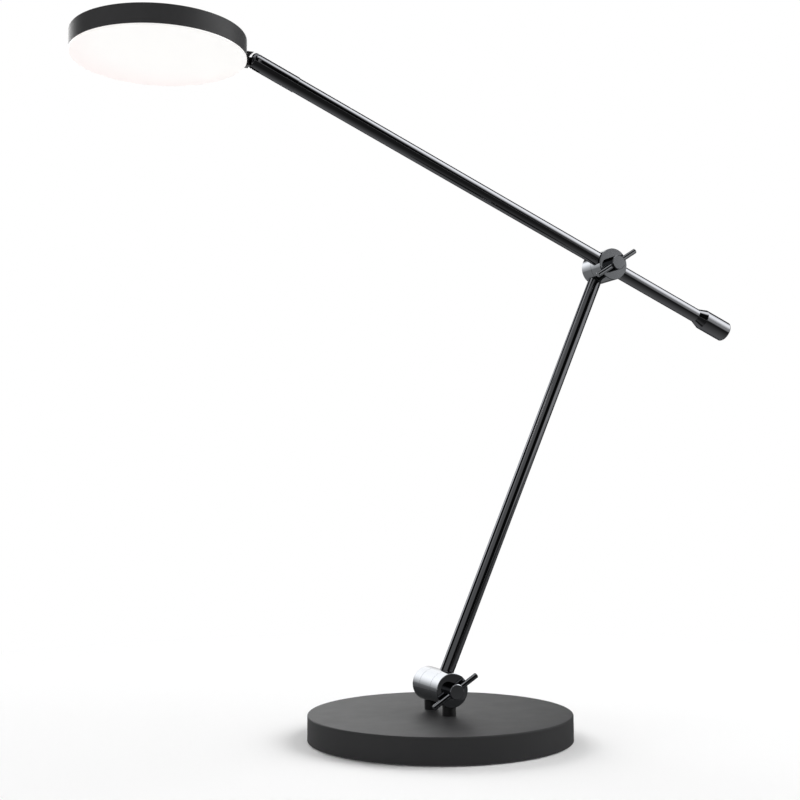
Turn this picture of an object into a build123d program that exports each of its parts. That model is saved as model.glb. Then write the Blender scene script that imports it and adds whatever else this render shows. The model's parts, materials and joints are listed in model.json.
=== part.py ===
from build123d import *
import os
from math import cos, radians, sin, sqrt

# Desk lamp with two straight tubes, clamp joints with T-handles, a counterweight on the upper
# tube's lower end and a flat round head on its upper end. Millimetres, +Z up. The origin is the
# middle of the base on the desk. The arms swing in planes parallel to XZ, the head is towards -X
# and the T-handles face -Y.

# ---- Stance ----
lean = 24.0                      # degrees, lower tube from the vertical, towards +X
slope = 23.5                     # degrees, upper tube from the horizontal, rising towards -X
handle_angle = 32.0              # degrees, both handle bars from the horizontal
lower_pivot_height = 47.0        # desk to the lower joint's axis
arm_length = 438.5               # lower joint's axis to upper joint's axis

# ---- Clearances ----
seat_clearance = 0.05            # radial, pieces fixed in each other
running_clearance = 0.06         # radial, shafts that turn in a bore
facing_gap = 0.05                # axial, a turning face from a washer
joint_gap = 0.2                  # axial, between two slices of a joint
end_clearance = 0.5              # blind bores, past the end of the piece in them
overrun = 1.0                    # cuts and roots, past the face that they go through

# ---- Base ----
base_radius = 121.5
base_top = 24.0                  # desk to the base's flat top
base_edge_radius = 1.3           # rounded top edge
cover_wall = 2.0
skirt_gap = 1.0                  # desk to the cover's lower edge
pad_radius = 114.0
pad_thickness = 2.0
plate_thickness = 1.5
plate_clearance = 0.5            # radial, bottom plate and weight inside the cover
weight_thickness = 13.0
boss_radius = 8.0                # bosses of the weight that the bottom plate sits on
plate_screw_ring_radius = 90.0   # base's middle to the plate screws
plate_screw_count = 3
first_plate_screw = 270.0        # degrees, the front one
plate_screw_radius = 2.0
plate_screw_length = 10.0
plate_head_radius = 3.4
cable_hole_height = 11.5         # desk to the cable hole's axis in the rear of the skirt
cable_hole_radius = 4.6
cable_bore_radius = 3.2
bush_flange_radius = 6.5
bush_flange = 1.5                # thickness of each flange
bush_edge = 1.0                  # chamfer of the outer flange
channel_clearance = 0.5          # bush to the cable channel in the weight's underside

# ---- Posts ----
post_radius = 6.2
spigot_radius = 4.0              # post's upper end, inside the cheek
spigot_length = 8.0
post_screw_radius = 3.0
post_screw_grip = 10.0           # depth of the screw in the post
post_head_radius = 5.0
post_head_height = 6.0
post_head_sink = 0.5             # screw head's lower end above the weight's underside
post_head_clearance = 0.5
post_socket_radius = 2.9         # corner radius of the hexagon socket

# ---- Joints, common ----
barrel_radius = 15.5
barrel_edge = 0.5                # chamfer of the outer end faces
slice_edge = 0.1                 # chamfer where two slices meet
washer_radius = 11.5
washer_thickness = 0.6
washer_bore_clearance = 0.5
washer_seat_clearance = 0.2

# ---- Lower joint ----
lower_joint_length = 54.5
cheek_width = 15.0
lower_screw_radius = 4.0
lower_screw_end = 3.25           # wall between the screw's tip and the joint's rear face

# ---- Upper joint ----
upper_joint_length = 33.85
front_wall = 1.6                 # in front of the upper tube
rear_wall = 1.0                  # behind the upper tube
upper_screw_radius = 3.0
upper_screw_end = 2.6            # wall between the screw's tip and the joint's rear face

# ---- T-handles ----
hub_radius = 7.0
hub_length = 10.0
hub_edge = 0.6
bar_radius = 2.45
bar_length = 50.6
bar_edge = 0.4
bar_setback = 5.5                # joint's front face to the bar's axis
screw_point = 1.0                # chamfer of the clamp screws' tips

# ---- Lower tube ----
lower_tube_radius = 6.42
lower_tube_wall = 1.2
lower_tube_y = -2.3              # tube's axis from the base's middle
lower_seat = 7.0                 # lower joint's axis to the tube's lower end
upper_seat = 6.0                 # tube's upper end to the upper joint's axis

# ---- Upper tube, along the arm from the upper joint's axis ----
upper_tube_radius = 7.0
upper_tube_wall = 1.0
head_end = 353.0                 # to the tube's end in the fork
weight_end = 111.4               # to the tube's end at the counterweight

# ---- Set screws ----
set_screw_radius = 2.0
set_screw_shift = 6.0            # block's set screw from the upper joint's axis
set_screw_length = 4.5
set_screw_place = 11.3           # set screws of the lower tube from the joints' axes
pin_screw_radius = 1.5           # set screws through the upper tube's wall
pin_screw_length = 3.4

# ---- Counterweight ----
counterweight_radius = 10.2
counterweight_cone = 9.1
counterweight_length = 29.8      # cylinder behind the cone
counterweight_edge = 1.8         # rounded far edge
counterweight_spigot = 28.0
ballast_clearance = 0.1          # radial, ballast bar in the tube
ballast_length = 66.0

# ---- Fork ----
fork_radius = 7.375
fork_spigot = 20.0
pin_place = 392.0                # hinge pin from the upper joint's axis
fork_tip = 7.0                   # pin to the fork's end
fork_corner = 4.0                # rounded corner of the fork's end
fork_edge = 0.25
groove_place = 2.6               # pin to the groove's middle, towards the tip
groove_width = 0.8
groove_depth = 0.5
slot_width = 3.4
slot_depth = 4.5                 # slot's end behind the pin
pin_radius = 1.5

# ---- Head ----
head_radius = 75.0
head_height = 17.2               # black housing without the diffuser
head_edge = 1.2
head_wall = 1.5
head_side_reach = 12.8           # hinge pin to the head's side
head_drop = 5.7                  # hinge pin to the housing's lower edge
tongue_radius = 4.0
tongue_thickness = 2.2
hinge_washer_radius = 3.8
lug_width = 8.0
lug_reach = 4.4                  # lug's upper tip from the pin, towards the head
lug_above = 8.1                  # lug's top above the pin
lug_below = 4.6                  # lug's underside below the pin
lug_gap = 0.75                   # fork's rounded end to the lug's hollow face
lug_screw_radius = 1.0
lug_screw_head = 1.9
lug_screw_head_height = 1.2
lug_screw_gap = 0.4              # screw heads to the diffuser's rim and to the heat spreader
lug_screw_grip = 2.4             # depth of the bores in the lug
diffuser_thickness = 1.5
diffuser_edge = 0.6
diffuser_rim_wall = 1.8
diffuser_rim_height = 3.5
rim_clearance = 0.3
spreader_clearance = 3.5         # radial, heat spreader inside the housing
spreader_thickness = 2.0
board_margin = 4.0               # radial, board's edge inside the spreader's edge
board_thickness = 1.6
chip_size = 3.5
chip_height = 0.8
chip_ring_count = 3
chips_in_first_ring = 6          # each further ring has as many more
chip_ring_pitch = 18.0
chip_margin = 10.0               # outer ring of chips to the board's edge
reflector_wall = 1.0
reflector_clearance = 0.4        # reflector's foot to the diffuser's rim
board_screw_count = 3
board_screw_radius = 1.5
board_screw_head = 2.8
board_screw_head_height = 1.6

# ---- Places worked out from the sizes ----
front_face = -lower_joint_length / 2
cheek_inner = lower_joint_length / 2 - cheek_width
cheek_middle = lower_joint_length / 2 - cheek_width / 2
block_half = cheek_inner - joint_gap
recess_depth = washer_thickness + facing_gap - joint_gap
upper_bore_radius = upper_tube_radius + seat_clearance
upper_tube_y = front_face + front_wall + upper_bore_radius
split_y = upper_tube_y + upper_bore_radius + rear_wall
rear_block_front = split_y + joint_gap
rear_face = front_face + upper_joint_length
lower_screw_tip = lower_joint_length / 2 - lower_screw_end
upper_screw_tip = rear_face - upper_screw_end
cover_inner_radius = base_radius - cover_wall
weight_top = base_top - cover_wall
weight_bottom = weight_top - weight_thickness
plate_top = pad_thickness + plate_thickness
upper_inner_radius = upper_tube_radius - upper_tube_wall
head_reach = head_side_reach + head_radius
rim_radius = head_radius - head_wall - rim_clearance
spreader_radius = head_radius - head_wall - spreader_clearance
board_radius = spreader_radius - board_margin
spreader_top = head_height - head_wall
board_top = spreader_top - spreader_thickness
board_underside = board_top - board_thickness

lower_pivot = Pos(0, 0, lower_pivot_height)
lower_frame = lower_pivot * Rot(0, lean, 0)
upper_pivot_x = arm_length * sin(radians(lean))
upper_pivot_z = lower_pivot_height + arm_length * cos(radians(lean))
upper_pivot = Pos(upper_pivot_x, 0, upper_pivot_z)
upper_frame = upper_pivot * Rot(0, slope, 0)
pin_x = upper_pivot_x - pin_place * cos(radians(slope))
pin_z = upper_pivot_z + pin_place * sin(radians(slope))
hinge_frame = Pos(pin_x, upper_tube_y, pin_z)
head_frame = hinge_frame * Pos(-head_reach, 0, -head_drop)

pieces = {}


# ---- Forms used by many pieces ----
def turned_y(corners):
    """Solid of revolution about Y from (radius, y) corners."""
    return revolve(make_face(Polyline(*corners, close=True)), Axis.Y)


def turned_x(corners):
    """Solid of revolution about X from (x, radius) corners."""
    return revolve(make_face(Polyline(*corners, close=True)), Axis.X)


def turned_z(corners):
    """Solid of revolution about Z from (radius, z) corners."""
    return revolve(Plane.XZ * make_face(Polyline(*corners, close=True)), Axis.Z)


def rod_y(radius, start, end):
    return turned_y([(0, start), (radius, start), (radius, end), (0, end)])


def rod_x(radius, start, end):
    return turned_x([(start, 0), (end, 0), (end, radius), (start, radius)])


def rod_z(radius, start, end):
    return turned_z([(0, start), (radius, start), (radius, end), (0, end)])


def tube_z(radius, bore, start, end):
    return turned_z([(bore, start), (radius, start), (radius, end), (bore, end)])


def barrel_slice(start, end, start_edge, end_edge):
    """Slice of a joint's barrel along Y, with a chamfer at each end."""
    r = barrel_radius
    corners = [(0, start), (r - start_edge, start), (r, start + start_edge)]
    corners += [(r, end - end_edge), (r - end_edge, end), (0, end)]
    return turned_y(corners)


def washer_recess(face, inward):
    """Shallow seat for a friction washer in a slice's face, cut along inward (+1 or -1)."""
    ends = sorted([face - inward * overrun, face + inward * recess_depth])
    return rod_y(washer_radius + washer_seat_clearance, ends[0], ends[1])


def friction_washer(screw_radius, face, inward):
    """Flat ring that lies in the recess and stands out of it into the gap between the slices."""
    floor = face + inward * recess_depth
    ends = sorted([floor, floor - inward * washer_thickness])
    bore = screw_radius + washer_bore_clearance
    ring = [(bore, ends[0]), (washer_radius, ends[0]), (washer_radius, ends[1]), (bore, ends[1])]
    return turned_y(ring)


# ---- Base: cover, weight, bottom plate, pad and their screws ----
def plate_screw_places():
    turns = [first_plate_screw + 360 / plate_screw_count * k for k in range(plate_screw_count)]
    return [Rot(0, 0, turn) * Pos(plate_screw_ring_radius, 0, 0) for turn in turns]


def make_base_cover():
    """Spun steel cover: flat top, short straight skirt, small rounded top edge."""
    cover = rod_z(base_radius, skirt_gap, base_top)
    cover = fillet(cover.edges().group_by(Axis.Z)[-1], base_edge_radius)
    cover -= rod_z(cover_inner_radius, 0, weight_top)
    for y in (-cheek_middle, cheek_middle):
        hole_radius = post_screw_radius + running_clearance
        cover -= Pos(0, y, 0) * rod_z(hole_radius, weight_top - overrun, base_top + overrun)
    cable_hole = Pos(0, 0, cable_hole_height) * rod_y(cable_hole_radius, 0, base_radius + overrun)
    return cover - cable_hole


def make_base_weight():
    """Cast-iron disc under the cover's top, with bosses, counterbores and a cable channel."""
    radius = cover_inner_radius - plate_clearance
    weight = rod_z(radius, weight_bottom, weight_top)
    for place in plate_screw_places():
        weight += place * rod_z(boss_radius, plate_top, weight_bottom + overrun)
        hole_end = pad_thickness + plate_screw_length + end_clearance
        weight -= place * rod_z(plate_screw_radius + seat_clearance, plate_top - overrun, hole_end)
        weight -= place * plate_screw_head(seat_clearance)
    for y in (-cheek_middle, cheek_middle):
        head_top = weight_bottom + post_head_sink + post_head_height
        counterbore = rod_z(post_head_radius + post_head_clearance, weight_bottom - overrun, head_top)
        shank_hole = rod_z(post_screw_radius + running_clearance, weight_bottom, weight_top + overrun)
        weight -= Pos(0, y, 0) * (counterbore + shank_hole)
    width = 2 * (bush_flange_radius + channel_clearance)
    channel_start = cheek_middle + post_head_radius + post_head_clearance + width / 2
    length = radius - channel_start + overrun
    channel_top = cable_hole_height + width / 2
    channel = Box(width, length, channel_top, align=(Align.CENTER, Align.MIN, Align.MIN))
    return weight - Pos(0, channel_start, 0) * channel


def make_base_plate():
    """Thin steel plate that closes the base, with countersunk holes."""
    plate = rod_z(cover_inner_radius - plate_clearance, pad_thickness, plate_top)
    for place in plate_screw_places():
        plate -= place * rod_z(plate_screw_radius + seat_clearance, 0, plate_top + overrun)
        plate -= place * plate_screw_head(seat_clearance)
    return plate


def plate_screw_head(grow):
    """Countersunk head, flush with the plate's underside."""
    radius = plate_head_radius + grow
    depth = plate_head_radius - plate_screw_radius
    foot = pad_thickness
    corners = [(0, foot), (radius, foot), (plate_screw_radius + grow, foot + depth), (0, foot + depth)]
    return turned_z(corners)


def make_plate_screws():
    shank = rod_z(plate_screw_radius, pad_thickness, pad_thickness + plate_screw_length)
    screw = shank + plate_screw_head(0)
    return Compound(children=[place * screw for place in plate_screw_places()])


def make_cable_bush():
    """Rubber bush in the rear of the skirt, with a flange on each side of the wall."""
    neck = cable_hole_radius - seat_clearance
    flange = bush_flange_radius
    inside = sqrt(cover_inner_radius ** 2 - flange ** 2) - seat_clearance
    outside = base_radius + seat_clearance
    corners = [(cable_bore_radius, inside - bush_flange), (flange, inside - bush_flange), (flange, inside)]
    corners += [(neck, inside), (neck, outside), (flange, outside)]
    corners += [(flange - bush_edge, outside + bush_flange), (cable_bore_radius, outside + bush_flange)]
    return Pos(0, 0, cable_hole_height) * turned_y(corners)


# ---- Posts and the screws that hold them ----
def make_post(y):
    """Round post with a hollow top that fits the barrel, a spigot above and a threaded foot."""
    axis_height = lower_pivot_height
    saddle = Pos(0, 0, axis_height) * rod_y(barrel_radius, y - 2 * post_radius, y + 2 * post_radius)
    post = Pos(0, y, 0) * rod_z(post_radius, base_top, axis_height) - saddle
    barrel_bottom = axis_height - barrel_radius
    post += Pos(0, y, 0) * rod_z(spigot_radius, barrel_bottom - overrun, barrel_bottom + spigot_length)
    grip_end = base_top + post_screw_grip + end_clearance
    grip = rod_z(post_screw_radius + seat_clearance, base_top - overrun, grip_end)
    return post - Pos(0, y, 0) * grip


def make_post_screws():
    head_foot = weight_bottom + post_head_sink
    head_top = head_foot + post_head_height
    screw = rod_z(post_head_radius, head_foot, head_top)
    screw += rod_z(post_screw_radius, head_top - overrun, base_top + post_screw_grip)
    hexagon = Plane.XY.offset(head_foot) * RegularPolygon(post_socket_radius, 6)
    screw -= extrude(hexagon, post_head_height / 2)
    return Compound(children=[Pos(0, y, 0) * screw for y in (-cheek_middle, cheek_middle)])


# ---- Lower joint: two cheeks, the pivot block between them, its washers ----
def cut_for_post(cheek, y):
    barrel_bottom = lower_pivot_height - barrel_radius
    hole_end = barrel_bottom + spigot_length + end_clearance
    hole = rod_z(spigot_radius + seat_clearance, barrel_bottom - overrun, hole_end)
    return cheek - Pos(0, y, 0) * hole


def make_front_cheek():
    cheek = barrel_slice(front_face, -cheek_inner, barrel_edge, slice_edge)
    cheek -= rod_y(lower_screw_radius + running_clearance, front_face - overrun, 0)
    return cut_for_post(lower_pivot * cheek, -cheek_middle)


def make_rear_cheek():
    cheek = barrel_slice(cheek_inner, -front_face, slice_edge, barrel_edge)
    cheek -= rod_y(lower_screw_radius + running_clearance, 0, lower_screw_tip + end_clearance)
    return cut_for_post(lower_pivot * cheek, cheek_middle)


def make_lower_pivot_block():
    """Middle slice of the lower joint, which the lower tube stands in."""
    block = barrel_slice(-block_half, block_half, slice_edge, slice_edge)
    block -= rod_y(lower_screw_radius + running_clearance, -cheek_inner, cheek_inner)
    block -= washer_recess(-block_half, 1)
    block -= washer_recess(block_half, -1)
    bore = rod_z(lower_tube_radius + seat_clearance, lower_seat, barrel_radius + overrun)
    screw_hole = Pos(0, 0, set_screw_place) * rod_x(set_screw_radius + seat_clearance, 0, barrel_radius)
    block -= Pos(0, lower_tube_y, 0) * (bore + screw_hole)
    return lower_frame * block


def make_lower_washers():
    washers = [friction_washer(lower_screw_radius, -block_half, 1)]
    washers += [friction_washer(lower_screw_radius, block_half, -1)]
    return Compound(children=[lower_frame * washer for washer in washers])


# ---- T-handles: a turned clamp screw with a round hub, and a bar pressed through the hub ----
def clamp_screw(screw_radius, tip):
    """Hub in front of the joint's face and a plain shank along the joint's axis."""
    nose = front_face - hub_length
    corners = [(0, nose), (hub_radius - hub_edge, nose), (hub_radius, nose + hub_edge)]
    corners += [(hub_radius, front_face), (screw_radius, front_face), (screw_radius, tip - screw_point)]
    corners += [(screw_radius - screw_point, tip), (0, tip)]
    cross_hole = rod_x(bar_radius + seat_clearance, -hub_radius - overrun, hub_radius + overrun)
    return turned_y(corners) - handle_turn() * cross_hole


def handle_turn():
    """Place of the handle bar: through the hub, tilted by the handle's angle."""
    return Pos(0, front_face - bar_setback, 0) * Rot(0, -handle_angle, 0)


def handle_bar():
    half = bar_length / 2
    r = bar_radius
    corners = [(-half, 0), (half, 0), (half, r - bar_edge), (half - bar_edge, r)]
    corners += [(bar_edge - half, r), (-half, r - bar_edge)]
    return handle_turn() * turned_x(corners)


# ---- Lower tube, the block on its upper end and the set screws ----
def make_lower_tube():
    bore = lower_tube_radius - lower_tube_wall
    tube = tube_z(lower_tube_radius, bore, lower_seat, arm_length - upper_seat)
    return lower_frame * Pos(0, lower_tube_y, 0) * tube


def make_upper_pivot_block():
    """Rear slice of the upper joint, fixed on the lower tube's end."""
    block = barrel_slice(rear_block_front, rear_face, slice_edge, barrel_edge)
    block -= washer_recess(rear_block_front, 1)
    bore_start = rear_block_front - overrun
    block -= rod_y(upper_screw_radius + running_clearance, bore_start, upper_screw_tip + end_clearance)
    bore = rod_z(lower_tube_radius + seat_clearance, -barrel_radius - overrun, -upper_seat)
    screw_hole = Pos(0, 0, -set_screw_place) * rod_x(set_screw_radius + seat_clearance, 0, barrel_radius)
    block -= Pos(0, lower_tube_y, 0) * (bore + screw_hole)
    return lower_frame * Pos(0, 0, arm_length) * block


def make_upper_washer():
    washer = friction_washer(upper_screw_radius, rear_block_front, 1)
    return lower_frame * Pos(0, 0, arm_length) * washer


def make_lower_tube_screws():
    """Two set screws that press on the lower tube, one in each block."""
    start = lower_tube_radius + seat_clearance
    surface = sqrt(barrel_radius ** 2 - (set_screw_place + set_screw_radius) ** 2)
    screw = rod_x(set_screw_radius, start, surface)
    places = (set_screw_place, arm_length - set_screw_place)
    screws = [lower_frame * Pos(0, lower_tube_y, z) * screw for z in places]
    return Compound(children=screws)


# ---- Upper arm: block, tube, counterweight, ballast bar, fork and set screws ----
def make_upper_clamp_block():
    """Front slice of the upper joint, with the cross bore for the upper tube."""
    block = barrel_slice(front_face, split_y, barrel_edge, slice_edge)
    block -= rod_y(upper_screw_radius + running_clearance, front_face - overrun, rear_face)
    reach = barrel_radius + overrun
    block -= Pos(0, upper_tube_y, 0) * rod_x(upper_bore_radius, -reach, reach)
    hole = rod_z(set_screw_radius + seat_clearance, 0, barrel_radius)
    block -= Pos(set_screw_shift, upper_tube_y, 0) * hole
    return upper_frame * block


def pin_screw_spots():
    """Places along the arm of the two set screws that go through the upper tube's wall."""
    return (-head_end + fork_spigot / 2, weight_end - counterweight_spigot / 2)


def make_upper_tube():
    corners = [(-head_end, upper_inner_radius), (weight_end, upper_inner_radius)]
    corners += [(weight_end, upper_tube_radius), (-head_end, upper_tube_radius)]
    tube = turned_x(corners)
    reach = upper_tube_radius + overrun
    tube -= rod_y(upper_screw_radius + running_clearance, -reach, reach)
    for x in pin_screw_spots():
        tube -= Pos(x, 0, 0) * rod_z(pin_screw_radius + seat_clearance, 0, reach)
    return upper_frame * Pos(0, upper_tube_y, 0) * tube


def pin_screw_hole(x):
    floor = upper_tube_radius - pin_screw_length - end_clearance
    return Pos(x, 0, 0) * rod_z(pin_screw_radius + seat_clearance, floor, upper_tube_radius + overrun)


def make_counterweight():
    """Solid steel end: spigot in the tube, short cone, thick cylinder with a rounded far edge."""
    cone_end = weight_end + counterweight_cone
    far_end = cone_end + counterweight_length
    spigot = upper_inner_radius - seat_clearance
    start = weight_end - counterweight_spigot
    corners = [(start, 0), (start, spigot), (weight_end, spigot), (weight_end, upper_tube_radius)]
    corners += [(cone_end, counterweight_radius), (far_end, counterweight_radius), (far_end, 0)]
    body = turned_x(corners)
    body = fillet(body.edges().group_by(Axis.X)[-1], counterweight_edge)
    body -= pin_screw_hole(pin_screw_spots()[1])
    return upper_frame * Pos(0, upper_tube_y, 0) * body


def make_ballast_bar():
    """Plain steel bar inside the tube, against the counterweight's spigot."""
    end = weight_end - counterweight_spigot
    bar = rod_x(upper_inner_radius - ballast_clearance, end - ballast_length, end)
    return upper_frame * Pos(0, upper_tube_y, 0) * bar


def make_upper_tube_screws():
    """Set screw in the joint's block and one at each end of the tube."""
    start = upper_tube_radius + seat_clearance
    block_screw = Pos(set_screw_shift, 0, 0) * rod_z(set_screw_radius, start, start + set_screw_length)
    top = sqrt(upper_tube_radius ** 2 - pin_screw_radius ** 2)
    end_screw = rod_z(pin_screw_radius, upper_tube_radius - pin_screw_length, top)
    screws = [block_screw] + [Pos(x, 0, 0) * end_screw for x in pin_screw_spots()]
    return Compound(children=[upper_frame * Pos(0, upper_tube_y, 0) * screw for screw in screws])


def make_head_fork():
    """Turned end piece: spigot in the tube, thicker sleeve, groove, rounded and slotted tip."""
    tip = -pin_place - fork_tip
    spigot = upper_inner_radius - seat_clearance
    corners = [(-head_end + fork_spigot, 0), (-head_end + fork_spigot, spigot), (-head_end, spigot)]
    corners += [(-head_end, fork_radius - fork_edge), (-head_end - fork_edge, fork_radius)]
    corners += [(tip, fork_radius), (tip, 0)]
    fork = turned_x(corners)
    fork = fillet(fork.edges().group_by(Axis.X)[0], fork_corner)
    groove_x = -pin_place - groove_place
    ring = rod_x(fork_radius + overrun, groove_x - groove_width / 2, groove_x + groove_width / 2)
    fork -= ring - rod_x(fork_radius - groove_depth, tip, -head_end)
    slot_end = -pin_place + slot_depth
    reach = fork_radius + overrun
    placed = (Align.MAX, Align.CENTER, Align.CENTER)
    slot = Box(slot_end - tip + overrun, slot_width, 2 * reach, align=placed)
    fork -= Pos(slot_end, 0, 0) * slot
    fork -= Pos(-pin_place, 0, 0) * rod_y(pin_radius + seat_clearance, -reach, reach)
    fork -= pin_screw_hole(pin_screw_spots()[0])
    return upper_frame * Pos(0, upper_tube_y, 0) * fork


def make_hinge_pin():
    reach = sqrt(fork_radius ** 2 - pin_radius ** 2) - seat_clearance
    return hinge_frame * rod_y(pin_radius, -reach, reach)


def make_hinge_washers():
    """Thin ring on each side of the tongue, against the slot's walls."""
    bore = pin_radius + running_clearance
    outer = slot_width / 2
    inner = tongue_thickness / 2 + facing_gap
    washers = []
    for ends in ((-outer, -inner), (inner, outer)):
        ring = [(bore, ends[0]), (hinge_washer_radius, ends[0])]
        ring += [(hinge_washer_radius, ends[1]), (bore, ends[1])]
        washers.append(hinge_frame * turned_y(ring))
    return Compound(children=washers)


# ---- Head: lug with its tongue, housing, light source and diffuser ----
def fork_end_reach():
    """Farthest point of the fork's rounded end from the pin."""
    along = fork_tip - fork_corner
    across = fork_radius - fork_corner
    return sqrt(along ** 2 + across ** 2) + fork_corner


def lug_screw_heights():
    """Heights above the housing's lower edge: one over the diffuser's rim, one under the spreader."""
    room = lug_screw_gap + lug_screw_head
    return (diffuser_rim_height + room, board_top - room)


def make_head_lug():
    """Plate on the head's side with a hollow face round the fork's end, and the hinge tongue."""
    side = head_side_reach
    hollow = fork_end_reach() + lug_gap
    drum = Pos(-head_reach, 0, 0) * rod_z(head_radius, -head_height, head_height)
    placed = (Align.MAX, Align.CENTER, Align.MIN)
    plate = Box(side + head_wall, lug_width, lug_above + lug_below, align=placed)
    lug = Pos(-lug_reach, 0, -lug_below) * plate - drum - rod_y(hollow, -lug_width, lug_width)
    root = (side + hollow) / 2
    lug += Pos(-root / 2, 0, 0) * Box(root, tongue_thickness, 2 * tongue_radius)
    lug += rod_y(tongue_radius, -tongue_thickness / 2, tongue_thickness / 2)
    lug -= rod_y(pin_radius + running_clearance, -tongue_thickness, tongue_thickness)
    for z in lug_screw_heights():
        hole = rod_x(lug_screw_radius + seat_clearance, -side - head_wall, -side + lug_screw_grip)
        lug -= Pos(0, 0, z - head_drop) * hole
    return hinge_frame * lug


def make_lug_screws():
    wall_inside = sqrt((head_radius - head_wall) ** 2 - lug_screw_head ** 2)
    screw = rod_x(lug_screw_radius, wall_inside, head_radius + lug_screw_grip - end_clearance)
    screw += rod_x(lug_screw_head, wall_inside - lug_screw_head_height, wall_inside)
    screws = [head_frame * Pos(0, 0, z) * screw for z in lug_screw_heights()]
    return Compound(children=screws)


def chip_ring_radius(ring):
    """Radius of a ring of chips; ring 1 is the innermost."""
    return board_radius - chip_margin - (chip_ring_count - ring) * chip_ring_pitch


def board_screw_places():
    """Between the first two rings of chips."""
    radius = chip_ring_radius(1) + chip_ring_pitch / 2
    turns = [360 / board_screw_count * k for k in range(board_screw_count)]
    return [Rot(0, 0, turn) * Pos(radius, 0, 0) for turn in turns]


def make_head_housing():
    """Flat round drum, open below, with a rounded top edge and holes for the lug's screws."""
    drum = rod_z(head_radius, 0, head_height)
    drum = fillet(drum.edges().group_by(Axis.Z)[-1], head_edge)
    drum -= rod_z(head_radius - head_wall, -overrun, spreader_top)
    for z in lug_screw_heights():
        hole = rod_x(lug_screw_radius + running_clearance, spreader_radius, head_radius + overrun)
        drum -= Pos(0, 0, z) * hole
    return head_frame * drum


def make_heat_spreader():
    disc = rod_z(spreader_radius, board_top, spreader_top)
    for place in board_screw_places():
        disc -= place * rod_z(board_screw_radius + seat_clearance, board_underside, head_height)
    return head_frame * disc


def make_led_board():
    board = rod_z(board_radius, board_underside, board_top)
    for place in board_screw_places():
        board -= place * rod_z(board_screw_radius + seat_clearance, 0, spreader_top)
    return head_frame * board


def make_led_chips():
    """Rings of small square light sources on the board's underside."""
    chip = Box(chip_size, chip_size, chip_height, align=(Align.CENTER, Align.CENTER, Align.MAX))
    chips = []
    for ring in range(1, chip_ring_count + 1):
        count = chips_in_first_ring * ring
        for k in range(count):
            turn = Rot(0, 0, 360 / count * (k + 0.5))
            chips.append(head_frame * turn * Pos(chip_ring_radius(ring), 0, board_underside) * chip)
    return Compound(children=chips)


def make_board_screws():
    head_foot = board_underside - board_screw_head_height
    screw = rod_z(board_screw_head, head_foot, board_underside)
    screw += rod_z(board_screw_radius, head_foot, spreader_top - seat_clearance)
    return Compound(children=[head_frame * place * screw for place in board_screw_places()])


def make_diffuser():
    """Opal disc over the housing's whole underside, with a rim that stands up inside the wall."""
    disc = rod_z(head_radius, -diffuser_thickness, 0)
    disc = fillet(disc.edges().group_by(Axis.Z)[0], diffuser_edge)
    root = -diffuser_thickness / 2
    disc += tube_z(rim_radius, rim_radius - diffuser_rim_wall, root, diffuser_rim_height)
    return head_frame * disc


def make_reflector():
    """White ring from the board's edge to the diffuser's rim, flaring towards the light's exit."""
    top_radius = board_radius - reflector_wall
    foot_radius = rim_radius - diffuser_rim_wall - reflector_clearance - reflector_wall
    top = board_underside
    foot = diffuser_rim_height
    corners = [(top_radius, top), (top_radius + reflector_wall, top)]
    corners += [(foot_radius + reflector_wall, foot), (foot_radius, foot)]
    return head_frame * turned_z(corners)


pieces["base_cover"] = make_base_cover()
pieces["base_weight"] = make_base_weight()
pieces["base_plate"] = make_base_plate()
pieces["plate_screws"] = make_plate_screws()
pieces["base_pad"] = rod_z(pad_radius, 0, pad_thickness)
pieces["cable_bush"] = make_cable_bush()
pieces["front_post"] = make_post(-cheek_middle)
pieces["rear_post"] = make_post(cheek_middle)
pieces["post_screws"] = make_post_screws()
pieces["front_cheek"] = make_front_cheek()
pieces["rear_cheek"] = make_rear_cheek()
pieces["lower_pivot_block"] = make_lower_pivot_block()
pieces["lower_washers"] = make_lower_washers()
pieces["lower_clamp_screw"] = lower_pivot * clamp_screw(lower_screw_radius, lower_screw_tip)
pieces["lower_handle_bar"] = lower_pivot * handle_bar()
pieces["lower_tube"] = make_lower_tube()
pieces["upper_pivot_block"] = make_upper_pivot_block()
pieces["upper_washer"] = make_upper_washer()
pieces["lower_tube_screws"] = make_lower_tube_screws()
pieces["upper_clamp_screw"] = upper_pivot * clamp_screw(upper_screw_radius, upper_screw_tip)
pieces["upper_handle_bar"] = upper_pivot * handle_bar()
pieces["upper_clamp_block"] = make_upper_clamp_block()
pieces["upper_tube"] = make_upper_tube()
pieces["counterweight"] = make_counterweight()
pieces["ballast_bar"] = make_ballast_bar()
pieces["upper_tube_screws"] = make_upper_tube_screws()
pieces["head_fork"] = make_head_fork()
pieces["hinge_pin"] = make_hinge_pin()
pieces["hinge_washers"] = make_hinge_washers()
pieces["head_lug"] = make_head_lug()
pieces["lug_screws"] = make_lug_screws()
pieces["head_housing"] = make_head_housing()
pieces["heat_spreader"] = make_heat_spreader()
pieces["led_board"] = make_led_board()
pieces["led_chips"] = make_led_chips()
pieces["board_screws"] = make_board_screws()
pieces["reflector"] = make_reflector()
pieces["diffuser"] = make_diffuser()

os.makedirs("parts", exist_ok=True)
for name, shape in pieces.items():
    export_step(shape, "parts/" + name + ".step")
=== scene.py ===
import json
import math

import bpy
from mathutils import Matrix, Vector


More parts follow.
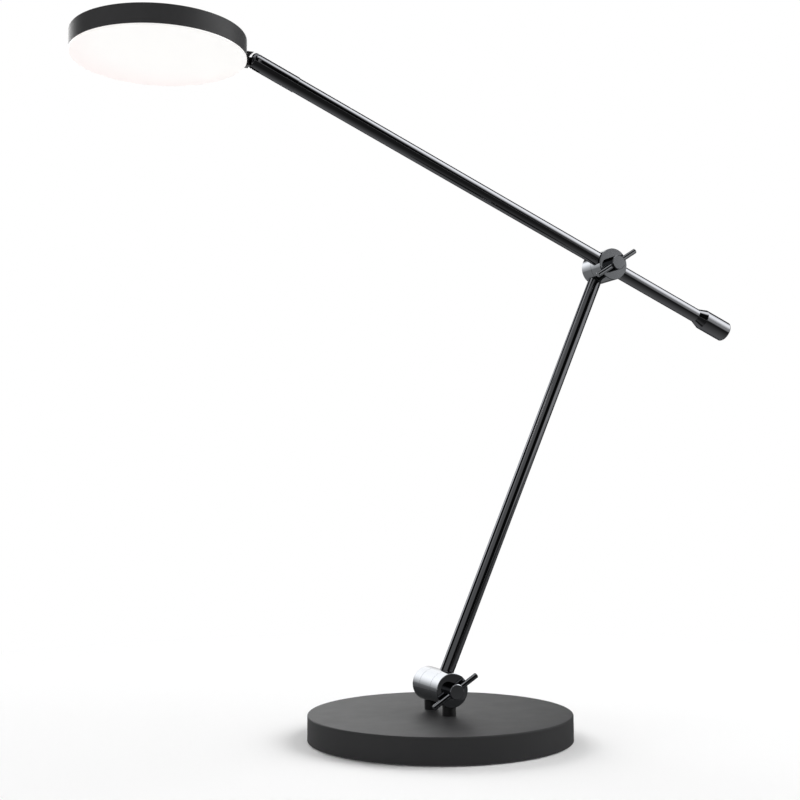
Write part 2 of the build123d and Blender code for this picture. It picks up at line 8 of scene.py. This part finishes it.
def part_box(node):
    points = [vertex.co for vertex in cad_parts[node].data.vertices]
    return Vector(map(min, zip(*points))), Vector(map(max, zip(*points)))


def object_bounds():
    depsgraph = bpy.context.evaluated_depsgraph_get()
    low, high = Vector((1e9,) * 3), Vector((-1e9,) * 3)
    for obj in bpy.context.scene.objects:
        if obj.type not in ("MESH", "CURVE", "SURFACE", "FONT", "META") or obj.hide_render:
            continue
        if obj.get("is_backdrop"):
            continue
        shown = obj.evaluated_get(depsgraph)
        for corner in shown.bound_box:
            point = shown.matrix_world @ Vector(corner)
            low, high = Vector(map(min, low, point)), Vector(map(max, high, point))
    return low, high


# The desk lamp as it is put together, from the pad under its base to the opal disc of its head,
# then the floor, the studio and the camera. Metres; the arms swing in planes along XZ.
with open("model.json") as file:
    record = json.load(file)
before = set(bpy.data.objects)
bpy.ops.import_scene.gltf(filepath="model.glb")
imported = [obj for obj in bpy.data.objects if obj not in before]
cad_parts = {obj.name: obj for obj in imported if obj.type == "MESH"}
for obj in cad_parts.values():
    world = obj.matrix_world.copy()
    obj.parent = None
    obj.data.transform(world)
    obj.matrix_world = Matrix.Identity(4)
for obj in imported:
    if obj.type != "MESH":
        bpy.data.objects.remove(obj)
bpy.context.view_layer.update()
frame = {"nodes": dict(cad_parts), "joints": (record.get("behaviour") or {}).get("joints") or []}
nodes = frame["nodes"]
joints = {joint["name"]: Vector(joint["pos_m"]) for joint in frame["joints"]}


# ---- Base pad ----
# A disc of black closed-cell foam rubber, 2 mm thick, punched from sheet and stuck under the
# base so that the lamp doesn't slide or scratch. Its cut cells give a dull, finely pitted black.
def linear(hex_colour):
    """An sRGB hex value as linear red, green, blue and 1."""
    parts = [int(hex_colour[i : i + 2], 16) / 255 for i in (1, 3, 5)]
    return (*[p / 12.92 if p <= 0.04045 else ((p + 0.055) / 1.055) ** 2.4 for p in parts], 1.0)


def add(tree, kind, settings=None, **inputs):
    """Adds a shader node; an input goes by its identifier and is a value or an output."""
    node = tree.nodes.new("ShaderNode" + kind)
    for name, value in (settings or {}).items():
        setattr(node, name, value)
    sockets = {socket.identifier.replace(" ", "_"): socket for socket in node.inputs}
    for name, value in inputs.items():
        if isinstance(value, bpy.types.NodeSocket):
            tree.links.new(value, sockets[name])
        else:
            sockets[name].default_value = value
    return node


def new_material(name):
    """An empty material, its node tree and the object coordinates, which are in metres."""
    material = bpy.data.materials.new(name)
    material.use_nodes = True
    tree = material.node_tree
    tree.nodes.clear()
    place = add(tree, "TexCoord").outputs["Object"]
    return material, tree, place


def finish_surface(tree, shader):
    """Makes a shader the surface of its material."""
    out = add(tree, "OutputMaterial")
    tree.links.new(shader.outputs[0], out.inputs["Surface"])


def dress(material, *names):
    """Gives CAD nodes their material."""
    for name in names:
        nodes[name].data.materials.clear()
        nodes[name].data.materials.append(material)


def moulded_rubber(name, shade, grain, roughness, depth):
    """Black rubber whose surface is pitted or grained; grain and depth are in metres."""
    dust_patch, spread = 0.012, 0.06
    material, tree, place = new_material(name)
    pits = add(tree, "TexVoronoi", {"feature": "SMOOTH_F1"}, Vector=place, Scale=1 / grain)
    dust = add(tree, "TexNoise", Vector=place, Scale=1 / dust_patch, Detail=4.0, Roughness=0.6)
    rough = add(
        tree,
        "MapRange",
        Value=dust.outputs["Fac"],
        To_Min=roughness - spread,
        To_Max=roughness + spread,
    )
    bump = add(tree, "Bump", Strength=0.6, Distance=depth, Height=pits.outputs["Distance"])
    rubber = add(
        tree,
        "BsdfPrincipled",
        Base_Color=linear(shade),
        Roughness=rough.outputs["Result"],
        Normal=bump.outputs["Normal"],
        IOR=1.52,
    )
    finish_surface(tree, rubber)
    return material


dress(moulded_rubber("foam_rubber_cut", "#1b1b1c", 0.0005, 0.86, 0.00008), "base_pad")


# ---- Bottom plate ----
# Steel sheet, 1.5 mm, zinc plated in a barrel after blanking. The zinc is a soft blue-grey with
# cloudy patches a centimetre across and the faint straight lines of the rolling mill.
zinc, tree, place = new_material("zinc_plated_sheet")
patch, line_length, line_pitch = 0.010, 0.030, 0.0004
clouds = add(tree, "TexNoise", Vector=place, Scale=1 / patch, Detail=5.0, Roughness=0.65)
stretch = (1 / line_length, 1 / line_pitch, 1 / line_pitch)
along = add(tree, "Mapping", Vector=place, Scale=stretch)
lines = add(tree, "TexNoise", Vector=along.outputs["Vector"], Scale=1.0, Detail=2.0)
colour = add(
    tree,
    "MixRGB",
    Fac=clouds.outputs["Fac"],
    Color1=linear("#9fa4ab"),
    Color2=linear("#c3c6c9"),
)
rough = add(tree, "MapRange", Value=clouds.outputs["Fac"], To_Min=0.30, To_Max=0.48)
bump = add(tree, "Bump", Strength=0.25, Distance=0.00001, Height=lines.outputs["Fac"])
sheet = add(
    tree,
    "BsdfPrincipled",
    Base_Color=colour.outputs["Color"],
    Metallic=1.0,
    Roughness=rough.outputs["Result"],
    Normal=bump.outputs["Normal"],
)
finish_surface(tree, sheet)
dress(zinc, "base_plate")

# ---- Base weight ----
# A grey iron disc, sand cast and oiled, that keeps the lamp on its feet. Its skin copies the
# sand, with grains of about 0.8 mm, and rusts very slightly in the hollows.
iron, tree, place = new_material("sand_cast_iron")
sand_grain, rust_patch = 0.0008, 0.018
grains = add(tree, "TexNoise", Vector=place, Scale=1 / sand_grain, Detail=3.0, Roughness=0.6)
rust = add(tree, "TexNoise", Vector=place, Scale=1 / rust_patch, Detail=6.0, Roughness=0.7)
spots = add(
    tree, "MapRange", Value=rust.outputs["Fac"], From_Min=0.52, From_Max=0.75, To_Max=0.5
)
colour = add(
    tree,
    "MixRGB",
    Fac=spots.outputs["Result"],
    Color1=linear("#474645"),
    Color2=linear("#5a4030"),
)
bump = add(tree, "Bump", Strength=0.7, Distance=0.0002, Height=grains.outputs["Fac"])
skin = add(
    tree,
    "BsdfPrincipled",
    Base_Color=colour.outputs["Color"],
    Metallic=0.35,
    Roughness=0.62,
    Normal=bump.outputs["Normal"],
)
finish_surface(tree, skin)
dress(iron, "base_weight")

# ---- Screws of the base, the lug and the light source, and the hinge pin ----
# Bright steel, turned on an automatic lathe: three countersunk screws hold the bottom plate, two
# large ones the posts, small ones the lug and the light source, and a plain pin the head.
turned_steel, tree, place = new_material("turned_steel")
tool_mark, oil_film = 0.0003, 0.003
marks = add(tree, "TexNoise", Vector=place, Scale=1 / tool_mark, Detail=3.0, Roughness=0.6)
oil = add(tree, "TexNoise", Vector=place, Scale=1 / oil_film, Detail=3.0)
rough = add(tree, "MapRange", Value=oil.outputs["Fac"], To_Min=0.22, To_Max=0.40)
bump = add(tree, "Bump", Strength=0.3, Distance=0.00001, Height=marks.outputs["Fac"])
steel = add(
    tree,
    "BsdfPrincipled",
    Base_Color=linear("#a9aaad"),
    Metallic=1.0,
    Roughness=rough.outputs["Result"],
    Normal=bump.outputs["Normal"],
)
finish_surface(tree, steel)
dress(turned_steel, "plate_screws", "post_screws", "lug_screws", "board_screws", "hinge_pin")


# ---- Base cover ----
# Spun steel sheet, 2 mm thick, with a flat top and a short straight skirt. It is powder coated
# matt black: the powder melts to a skin of low hills, about 0.35 mm apart, that spreads light
# softly, and its edges are a little paler where hands and cloths have rubbed them.
def powder_coat(name, shade, rubbed_shade, roughness, shine):
    """Matt black powder coat; rubbed_shade is its colour where edges are worn."""
    hill, cloud, edge_width, spread = 0.00035, 0.02, 0.0012, 0.05
    material, tree, place = new_material(name)
    hills = add(tree, "TexNoise", Vector=place, Scale=1 / hill, Detail=2.0, Roughness=0.5)
    clouds = add(tree, "TexNoise", Vector=place, Scale=1 / cloud, Detail=4.0, Roughness=0.6)
    edge = add(tree, "Bevel", {"samples": 4}, Radius=edge_width)
    flat = add(tree, "NewGeometry").outputs["Normal"]
    turn = add(
        tree, "VectorMath", {"operation": "DOT_PRODUCT"}, Vector=edge.outputs[0], Vector_001=flat
    )
    rubbed = add(
        tree, "MapRange", Value=turn.outputs["Value"], From_Min=0.99, From_Max=0.90, To_Max=0.5
    )
    rubbed = add(
        tree,
        "Math",
        {"operation": "MULTIPLY"},
        Value=rubbed.outputs["Result"],
        Value_001=clouds.outputs["Fac"],
    )
    colour = add(
        tree, "MixRGB", Fac=rubbed.outputs[0], Color1=linear(shade), Color2=linear(rubbed_shade)
    )
    rough = add(
        tree,
        "MapRange",
        Value=clouds.outputs["Fac"],
        To_Min=roughness - spread,
        To_Max=roughness + spread,
    )
    bump = add(tree, "Bump", Strength=0.5, Distance=0.00003, Height=hills.outputs["Fac"])
    coat = add(
        tree,
        "BsdfPrincipled",
        Base_Color=colour.outputs["Color"],
        Roughness=rough.outputs["Result"],
        Normal=bump.outputs["Normal"],
        IOR=1.5,
        Specular_IOR_Level=shine,
    )
    finish_surface(tree, coat)
    return material


dress(powder_coat("powder_coated_steel", "#303031", "#464647", 0.6, 0.15), "base_cover")

# ---- Cable bush ----
# A moulded rubber bush with a flange on each side of the skirt. The mould was spark eroded, so
# the rubber has an even fine grain of about 0.2 mm and is a little less dull than the pad.
dress(moulded_rubber("moulded_rubber", "#191919", 0.0002, 0.62, 0.00002), "cable_bush")

# ---- Posts and lug ----
# Two turned steel posts, screwed to the base from below, that carry the lower joint, and the
# milled lug on the head's side. Dip painted satin black, which shows soft long highlights.
satin, tree, place = new_material("satin_black_paint")
run_width, dull_patch = 0.002, 0.008
runs = add(tree, "TexNoise", Vector=place, Scale=1 / run_width, Detail=2.0)
dull = add(tree, "TexNoise", Vector=place, Scale=1 / dull_patch, Detail=4.0)
rough = add(tree, "MapRange", Value=dull.outputs["Fac"], To_Min=0.26, To_Max=0.38)
bump = add(tree, "Bump", Strength=0.3, Distance=0.00001, Height=runs.outputs["Fac"])
paint = add(
    tree,
    "BsdfPrincipled",
    Base_Color=linear("#121213"),
    Roughness=rough.outputs["Result"],
    Normal=bump.outputs["Normal"],
    IOR=1.5,
)
finish_surface(tree, paint)
dress(satin, "front_post", "rear_post", "head_lug")


# ---- Lower joint ----
# Three slices of a steel barrel: two cheeks on the posts and between them the block of the
# lower tube. They are turned, polished and plated with black chrome, a dark mirror slightly
# hazed by wiping. The end faces keep the rings of the polishing wheel.
def plated(name, shade, graze, low_rough, high_rough, axis_at):
    """Black chrome on turned steel; axis_at is a point on the turned axis, along Y."""
    wipe, ring = 0.012, 0.0006
    material, tree, place = new_material(name)
    haze = add(tree, "TexNoise", Vector=place, Scale=1 / wipe, Detail=5.0, Roughness=0.65)
    rough = add(
        tree,
        "MapRange",
        Value=haze.outputs["Fac"],
        From_Min=0.3,
        From_Max=0.7,
        To_Min=low_rough,
        To_Max=high_rough,
    )
    centred = add(tree, "VectorMath", {"operation": "SUBTRACT"}, Vector=place, Vector_001=axis_at)
    # The wheel's rings are finer than 0.1 mm; they are drawn 0.6 mm apart so that they show.
    # A ring texture at scale 1 has its rings tau / 20 apart.
    rings = add(
        tree,
        "TexWave",
        {"wave_type": "RINGS", "rings_direction": "Y"},
        Vector=centred.outputs["Vector"],
        Scale=math.tau / 20 / ring,
        Distortion=1.5,
        Detail=2.0,
    )
    bump = add(tree, "Bump", Strength=0.08, Distance=0.000004, Height=rings.outputs["Fac"])
    metal = add(
        tree,
        "BsdfPrincipled",
        Base_Color=linear(shade),
        Specular_Tint=linear(graze),
        Metallic=1.0,
        Roughness=rough.outputs["Result"],
        Normal=bump.outputs["Normal"],
    )
    finish_surface(tree, metal)
    return material


lower_chrome = plated(
    "black_chrome_turned_lower", "#85878a", "#c4c4c4", 0.04, 0.08, joints["lower_arm_tilt"]
)
dress(lower_chrome, "front_cheek", "rear_cheek", "lower_pivot_block")

# ---- Friction washers ----
# Rings of dark vulcanised fibre between the slices, 0.6 mm thick, stamped from board. They show
# as a thin dull brown-black line, mottled by the pressed fibres.
fibre, tree, place = new_material("vulcanised_fibre")
thread = 0.0004
threads = add(tree, "TexNoise", Vector=place, Scale=1 / thread, Detail=5.0, Roughness=0.7)
colour = add(
    tree,
    "MixRGB",
    Fac=threads.outputs["Fac"],
    Color1=linear("#1c1512"),
    Color2=linear("#40302a"),
)
bump = add(tree, "Bump", Strength=0.4, Distance=0.00002, Height=threads.outputs["Fac"])
board = add(
    tree,
    "BsdfPrincipled",
    Base_Color=colour.outputs["Color"],
    Roughness=0.78,
    Normal=bump.outputs["Normal"],
    IOR=1.53,
)
finish_surface(tree, board)
dress(fibre, "lower_washers", "upper_washer", "hinge_washers")

# ---- Lower clamp screw and its bar ----
# A turned screw with a round hub that tightens the joint, and a bar pressed through the hub as
# the handle. Both are polished and plated with the same black chrome as the barrel.
dress(lower_chrome, "lower_clamp_screw", "lower_handle_bar")


# ---- Lower tube ----
# A drawn steel tube, ground and polished along its length before black chrome plating. The
# mirror keeps faint straight draw lines, which pull its highlights into long even stripes.
def drawn_tube(name, shade, graze, along):
    """Polished or plated drawn steel; along is the direction in which it was drawn."""
    line_length, line_pitch, wipe = 0.060, 0.0005, 0.014
    material, tree, place = new_material(name)
    side = Vector((-along.z, 0, along.x))
    turned = Matrix((along, (0, 1, 0), side)).to_euler()
    spun = add(tree, "Mapping", Vector=place, Rotation=turned)
    # Draw lines are 0.1 mm apart or less; they are drawn at 0.5 mm and run for some 60 mm.
    stretch = (1 / line_length, 1 / line_pitch, 1 / line_pitch)
    stretched = add(tree, "Mapping", Vector=spun.outputs["Vector"], Scale=stretch)
    lines = add(tree, "TexNoise", Vector=stretched.outputs["Vector"], Scale=1.0, Detail=3.0)
    wiped = add(tree, "TexNoise", Vector=place, Scale=1 / wipe, Detail=5.0, Roughness=0.65)
    rough = add(
        tree,
        "MapRange",
        Value=wiped.outputs["Fac"],
        From_Min=0.3,
        From_Max=0.7,
        To_Min=0.04,
        To_Max=0.09,
    )
    bump = add(tree, "Bump", Strength=0.06, Distance=0.000004, Height=lines.outputs["Fac"])
    metal = add(
        tree,
        "BsdfPrincipled",
        Base_Color=linear(shade),
        Specular_Tint=linear(graze),
        Metallic=1.0,
        Roughness=rough.outputs["Result"],
        Normal=bump.outputs["Normal"],
    )
    finish_surface(tree, metal)
    return material


lower_direction = (joints["upper_arm_tilt"] - joints["lower_arm_tilt"]).normalized()
dress(drawn_tube("black_chrome_drawn_lower", "#7a7b7e", "#646464", lower_direction), "lower_tube")

# ---- Upper joint ----
# The rear block sits on the lower tube, the front one carries the upper tube, and the clamp
# screw draws them together. They are turned, polished and plated with black chrome.
joint_chrome = plated(
    "black_chrome_turned_upper", "#7f8184", "#c4c4c4", 0.04, 0.08, joints["upper_arm_tilt"]
)
dress(joint_chrome, "upper_pivot_block", "upper_clamp_block")
dress(joint_chrome, "upper_clamp_screw", "upper_handle_bar")

# ---- Upper tube, counterweight and fork ----
# The tube slides through the front block and is held by its set screw. The counterweight and
# the fork are turned from solid steel, pushed into the tube's ends and plated like it.
tilt = joints["upper_arm_tilt"] - joints["head_tilt"]
upper_direction = Vector((tilt.x, 0, tilt.z)).normalized()
upper_chrome = drawn_tube("black_chrome_drawn_upper", "#7a7b7e", "#646464", upper_direction)
dress(upper_chrome, "upper_tube", "counterweight", "head_fork")

# ---- Ballast bar ----
# A bright drawn steel bar that fills the tube next to the counterweight. It is never seen, and
# has the plain grey shine of bar stock with drawing lines along it.
dress(drawn_tube("bright_drawn_steel", "#b0b1b3", "#c8c8c8", upper_direction), "ballast_bar")

# ---- Set screws ----
# Short headless screws of blackened steel, that pinch the tubes in their blocks and pin the
# ends of the upper tube. Oil blackening leaves them matt with a brown-grey shine.
blackened, tree, place = new_material("blackened_steel")
bloom_patch = 0.0012
bloom = add(tree, "TexNoise", Vector=place, Scale=1 / bloom_patch, Detail=4.0, Roughness=0.6)
rough = add(tree, "MapRange", Value=bloom.outputs["Fac"], To_Min=0.35, To_Max=0.55)
colour = add(
    tree,
    "MixRGB",
    Fac=bloom.outputs["Fac"],
    Color1=linear("#2b2a29"),
    Color2=linear("#46433f"),
)
steel = add(
    tree,
    "BsdfPrincipled",
    Base_Color=colour.outputs["Color"],
    Metallic=0.9,
    Roughness=rough.outputs["Result"],
)
finish_surface(tree, steel)
dress(blackened, "lower_tube_screws", "upper_tube_screws")

# ---- Head housing ----
# A shallow round drum of pressed aluminium sheet, powder coated matt black like the base. Its
# coat is a little smoother and a shade lighter.
dress(powder_coat("powder_coated_aluminium", "#343435", "#4a4a4b", 0.42, 0.12), "head_housing")

# ---- Heat spreader ----
# A disc of rolled aluminium that carries the light source and takes up its heat. Mill finish: a
# pale grey with short rolling streaks.
rolled, tree, place = new_material("mill_finish_aluminium")
streak_length, streak_pitch = 0.020, 0.0005
stretch = (1 / streak_length, 1 / streak_pitch, 1 / streak_pitch)
along = add(tree, "Mapping", Vector=place, Scale=stretch)
streaks = add(tree, "TexNoise", Vector=along.outputs["Vector"], Scale=1.0, Detail=4.0)
rough = add(tree, "MapRange", Value=streaks.outputs["Fac"], To_Min=0.28, To_Max=0.42)
bump = add(tree, "Bump", Strength=0.2, Distance=0.00001, Height=streaks.outputs["Fac"])
metal = add(
    tree,
    "BsdfPrincipled",
    Base_Color=linear("#d6d8da"),
    Metallic=1.0,
    Roughness=rough.outputs["Result"],
    Normal=bump.outputs["Normal"],
)
finish_surface(tree, metal)
dress(rolled, "heat_spreader")

# ---- Light board ----
# A metal-cored circuit board under white solder mask. The copper below the mask lifts it by a
# few hundredths of a millimetre, in a grid of wide tracks with thin gaps.
mask, tree, place = new_material("white_solder_mask")
track_pitch = 0.018
tracks = add(
    tree,
    "TexBrick",
    Vector=place,
    Color1=linear("#f4f4f0"),
    Color2=linear("#efefe9"),
    Mortar=linear("#dcdcd2"),
    Scale=1 / track_pitch,
    Mortar_Size=0.02,
    Brick_Width=1.0,
    Row_Height=0.5,
)
gaps = tracks.outputs["Fac"]
bump = add(tree, "Bump", {"invert": True}, Strength=0.5, Distance=0.00004, Height=gaps)
lacquer = add(
    tree,
    "BsdfPrincipled",
    Base_Color=tracks.outputs["Color"],
    Roughness=0.38,
    Normal=bump.outputs["Normal"],
    IOR=1.5,
)
finish_surface(tree, lacquer)
dress(mask, "led_board")

# ---- Light-emitting chips ----
# Rings of square chips under yellow phosphor in clear resin, soldered to the board. The resin's
# meniscus is glossy and the phosphor in it is grainy.
phosphor, tree, place = new_material("phosphor_in_resin")
phosphor_grain = 0.00015
powder = add(tree, "TexNoise", Vector=place, Scale=1 / phosphor_grain, Detail=2.0)
colour = add(
    tree,
    "MixRGB",
    Fac=powder.outputs["Fac"],
    Color1=linear("#e2b93c"),
    Color2=linear("#f1d46a"),
)
resin = add(
    tree,
    "BsdfPrincipled",
    Base_Color=colour.outputs["Color"],
    Roughness=0.45,
    Coat_Weight=1.0,
    Coat_Roughness=0.05,
    IOR=1.5,
    Emission_Color=linear("#fff3dc"),
    Emission_Strength=0.6,
)
finish_surface(tree, resin)
dress(phosphor, "led_chips")

# ---- Reflector ----
# A white polycarbonate ring, moulded with a fine matt grain, that turns stray light down
# towards the diffuser.
ring_white, tree, place = new_material("moulded_polycarbonate")
mould_grain = 0.0002
grain = add(tree, "TexNoise", Vector=place, Scale=1 / mould_grain, Detail=2.0)
bump = add(tree, "Bump", Strength=0.3, Distance=0.00002, Height=grain.outputs["Fac"])
plastic = add(
    tree,
    "BsdfPrincipled",
    Base_Color=linear("#f2f2f0"),
    Roughness=0.55,
    Normal=bump.outputs["Normal"],
    IOR=1.58,
)
finish_surface(tree, plastic)
dress(ring_white, "reflector")

# ---- Diffuser ----
# A flat disc of opal acrylic with a low rim, lit from behind by the chips. Its white pigment
# evens their light out; away from its brightest place it turns a shade dimmer and warmer.
opal, tree, place = new_material("opal_acrylic")
low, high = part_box("diffuser")
radius = (high[0] - low[0]) / 2
middle_x, middle_y = (low[0] + high[0]) / 2, (low[1] + high[1]) / 2
brightest = (middle_x + 0.1 * radius, middle_y - 0.35 * radius, 0)
dim_start, dim_end = 0.75 * radius, 1.35 * radius
haze_patch = 0.03
off = add(tree, "VectorMath", {"operation": "SUBTRACT"}, Vector=place, Vector_001=brightest)
off = add(
    tree,
    "VectorMath",
    {"operation": "MULTIPLY"},
    Vector=off.outputs["Vector"],
    Vector_001=(1, 1, 0),
)
out = add(tree, "VectorMath", {"operation": "LENGTH"}, Vector=off.outputs["Vector"])
rim = add(
    tree,
    "MapRange",
    {"interpolation_type": "SMOOTHSTEP"},
    Value=out.outputs["Value"],
    From_Min=dim_start,
    From_Max=dim_end,
)
haze = add(tree, "TexNoise", Vector=place, Scale=1 / haze_patch, Detail=2.0)
glow = add(
    tree,
    "MixRGB",
    Fac=rim.outputs["Result"],
    Color1=linear("#fffefd"),
    Color2=linear("#fff1f0"),
)
rough = add(tree, "MapRange", Value=haze.outputs["Fac"], To_Min=0.30, To_Max=0.38)
sheet = add(
    tree,
    "BsdfPrincipled",
    Base_Color=linear("#b4b3b1"),
    Roughness=rough.outputs["Result"],
    IOR=1.49,
    Emission_Color=glow.outputs["Color"],
    Emission_Strength=0.55,
)
finish_surface(tree, sheet)
dress(opal, "diffuser")


# ---- Floor ----
# A white paper sweep. Near the lamp it is plain paper that keeps the lamp's soft shadow; from
# 0.9 m away it is seen as pure white, so that no horizon shows.
def is_seen(tree):
    """1 where the camera, a polished piece or a clear one looks, and 0 for light on dull ones."""
    ray = add(tree, "LightPath").outputs
    seen = ray["Is Camera Ray"]
    for kind in ("Is Glossy Ray", "Is Transmission Ray"):
        either = add(tree, "Math", {"operation": "MAXIMUM"}, Value=seen, Value_001=ray[kind])
        seen = either.outputs[0]
    return seen


floor_width, paper_end, white_start = 80, 0.22, 0.9
bpy.ops.mesh.primitive_plane_add(size=floor_width)
floor = bpy.context.object
floor.name = "floor"
floor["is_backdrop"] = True
paper, tree, place = new_material("white_paper")
away = add(tree, "VectorMath", {"operation": "LENGTH"}, Vector=place)
far = add(
    tree,
    "MapRange",
    {"interpolation_type": "SMOOTHSTEP"},
    Value=away.outputs["Value"],
    From_Min=paper_end,
    From_Max=white_start,
)
share = add(
    tree,
    "Math",
    {"operation": "MULTIPLY"},
    Value=is_seen(tree),
    Value_001=far.outputs["Result"],
)
sheet = add(tree, "BsdfDiffuse", Color=linear("#fafafa"))
white = add(tree, "Emission", Color=linear("#ffffff"), Strength=1.0)
mixed = add(
    tree, "MixShader", Fac=share.outputs[0], Shader=sheet.outputs[0], Shader_001=white.outputs[0]
)
finish_surface(tree, mixed)
floor.data.materials.append(paper)

# ---- White surroundings ----
# The studio's white walls. They are white wherever the camera or a polished piece looks at
# them, and light the lamp at under a quarter of that: the cards add the rest.
world = bpy.data.worlds.new("white_surroundings")
bpy.context.scene.world = world
world.use_nodes = True
tree = world.node_tree
tree.nodes.clear()
light_level, seen_level = 0.225, 1.0
level = add(tree, "MapRange", Value=is_seen(tree), To_Min=light_level, To_Max=seen_level)
white = add(tree, "Background", Color=linear("#ffffff"), Strength=level.outputs["Result"])
out = add(tree, "OutputWorld")
tree.links.new(white.outputs[0], out.inputs["Surface"])


# ---- Studio cards ----
# Large cards with soft edges far round the lamp, as for any polished thing. Bright ones light it
# or give the tubes their white stripes, dark ones give them their black bands. The camera sees
# none of them; dull surfaces see those that light, polished ones see those that shine.
def card(name, azimuths, rises, glow, fades, radius=6.0, lights=False, shines=True):
    """Part of a sphere round the lamp; azimuth 0 is +Y and 90 is +X, in degrees. fades are the
    widths of its soft edges at the first and last azimuth, at the bottom and at the top. lights
    shows it to dull surfaces, shines to polished ones."""
    steps, centre_height = 32, 0.3
    (first, last), (bottom, top) = azimuths, rises
    points, faces, depth = [], [], []
    for i in range(steps + 1):
        azimuth = first + (last - first) * i / steps
        for j in range(steps + 1):
            rise = bottom + (top - bottom) * j / steps
            inside = (azimuth - first, last - azimuth, rise - bottom, top - rise)
            share = 1.0
            for distance, fade in zip(inside, fades):
                t = min(1.0, max(0.0, distance / fade))
                share *= t * t * (3 - 2 * t)
            depth.append(share)
            turn, up = math.radians(azimuth), math.radians(rise)
            x = radius * math.cos(up) * math.sin(turn)
            y = radius * math.cos(up) * math.cos(turn)
            points.append((x, y, centre_height + radius * math.sin(up)))
    for i in range(steps):
        for j in range(steps):
            k = i * (steps + 1) + j
            faces.append((k, k + steps + 1, k + steps + 2, k + 1))
    mesh = bpy.data.meshes.new(name)
    mesh.from_pydata(points, [], faces)
    fade = mesh.attributes.new("fade", "FLOAT", "POINT")
    fade.data.foreach_set("value", depth)
    piece = bpy.data.objects.new(name, mesh)
    bpy.context.scene.collection.objects.link(piece)
    piece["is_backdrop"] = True
    surface, tree, _ = new_material(name)
    share = add(tree, "Attribute", {"attribute_name": "fade"}).outputs["Fac"]
    clear = add(tree, "BsdfTransparent")
    lamp = add(tree, "Emission", Color=linear("#ffffff"), Strength=glow)
    mixed = add(tree, "MixShader", Fac=share, Shader=clear.outputs[0], Shader_001=lamp.outputs[0])
    finish_surface(tree, mixed)
    mesh.materials.append(surface)
    piece.visible_camera = False
    piece.visible_shadow = False
    piece.visible_diffuse = lights
    piece.visible_glossy = shines


dull_only = {"lights": True, "shines": False}
card("front_fill", (150, 250), (0, 26), 1.35, (26, 20, 6, 16), radius=6.2, **dull_only)
card("left_fill", (236, 306), (-2, 18), 5.0, (18, 18, 4, 10), radius=6.1, **dull_only)
card("right_softbox", (74, 158), (2, 66), 4.3, (12, 42, 30, 12), lights=True)
card("back_softbox", (-40, 34), (-6, 56), 4.6, (18, 36, 26, 16), radius=5.9, **dull_only)
card("back_strip", (-40, 34), (-6, 34), 4.6, (18, 18, 26, 8), radius=5.85)
card("dark_above_strip", (-64, 60), (27, 72), 0.03, (14, 20, 7, 10), radius=5.95)
card("right_low_card", (88, 156), (-14, 16), 0.88, (14, 18, 11, 10), radius=1.6)
card("left_card", (-164, -84), (-6, 64), 0.32, (14, 6, 8, 12), radius=5.8)
card("left_high_card", (-114, -82), (24, 66), 0.68, (16, 6, 10, 12), radius=5.6)
card("dark_behind_camera", (138, 214), (-12, 80), 0.01, (14, 14, 4, 20), radius=6.3)
card("dark_left_back", (-92, -36), (-2, 46), 0.01, (8, 9, 4, 10), radius=5.7)
card("dark_right_back", (28, 88), (12, 68), 0.12, (12, 10, 8, 8), radius=5.5)
card("dark_right_low", (32, 94), (-13, 12), 0.12, (10, 8, 2, 6), radius=1.25)

# ---- Dark floor card ----
# A grey sheet just above the floor, with a soft end from 3 m to 8 m: painted shade in the floor's
# reflection. Only polished pieces see it, in their lower halves: nearly black on the camera's
# side, paler towards the back and the right.
half, lift, full_to, gone_from = 9, 0.0005, 3.0, 8.0
corners = [(-half, -half, 0), (half, -half, 0), (half, half, 0), (-half, half, 0)]
mesh = bpy.data.meshes.new("dark_floor_card")
mesh.from_pydata(corners, [], [(0, 1, 2, 3)])
floor_shade_sheet = bpy.data.objects.new("dark_floor_card", mesh)
bpy.context.scene.collection.objects.link(floor_shade_sheet)
floor_shade_sheet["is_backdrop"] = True
# Painted shade: polished pieces see this darker floor, while the camera sees the white paper.
surface, tree, place = new_material("grey_cloth")
backwards = (0.4, 1.0, 0.0)
dark_until, pale_from, dark_level, pale_level = -0.6, 1.0, 0.04, 0.6
back = add(
    tree, "VectorMath", {"operation": "DOT_PRODUCT"}, Vector=place, Vector_001=backwards
)
pale = add(
    tree,
    "MapRange",
    {"interpolation_type": "SMOOTHSTEP"},
    Value=back.outputs["Value"],
    From_Min=dark_until,
    From_Max=pale_from,
    To_Min=dark_level,
    To_Max=pale_level,
)
away = add(tree, "VectorMath", {"operation": "LENGTH"}, Vector=place)
near = add(
    tree,
    "MapRange",
    {"interpolation_type": "SMOOTHSTEP"},
    Value=away.outputs["Value"],
    From_Min=gone_from,
    From_Max=full_to,
)
clear = add(tree, "BsdfTransparent")
dark = add(tree, "Emission", Color=linear("#ffffff"), Strength=pale.outputs["Result"])
mixed = add(
    tree,
    "MixShader",
    Fac=near.outputs["Result"],
    Shader=clear.outputs[0],
    Shader_001=dark.outputs[0],
)
finish_surface(tree, mixed)
mesh.materials.append(surface)
floor_shade_sheet.location.z = lift
floor_shade_sheet.visible_camera = False
floor_shade_sheet.visible_shadow = False
floor_shade_sheet.visible_diffuse = False

# ---- Camera ----
# It stands 1.16 m from the lamp, in front and to the left, 0.22 m above the desk, and looks up by
# about 4 degrees, as fitted to the photograph. The lens length goes with a 36 mm sensor.
heading, pitch, roll = math.radians(23.106), math.radians(4.457), math.radians(-0.308)
stand = (-0.48874, -1.05597, 0.22079)
focal_length = 56.101
camera = bpy.data.objects.new("camera", bpy.data.cameras.new("camera"))
bpy.context.scene.collection.objects.link(camera)
camera.data.lens = focal_length
camera.matrix_world = (
    Matrix.Translation(stand)
    @ Matrix.Rotation(-heading, 4, "Z")
    @ Matrix.Rotation(math.radians(90) + pitch, 4, "X")
    @ Matrix.Rotation(roll, 4, "Z")
)
bpy.context.scene.camera = camera
bpy.context.scene.view_settings.view_transform = "Standard"

low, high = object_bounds()
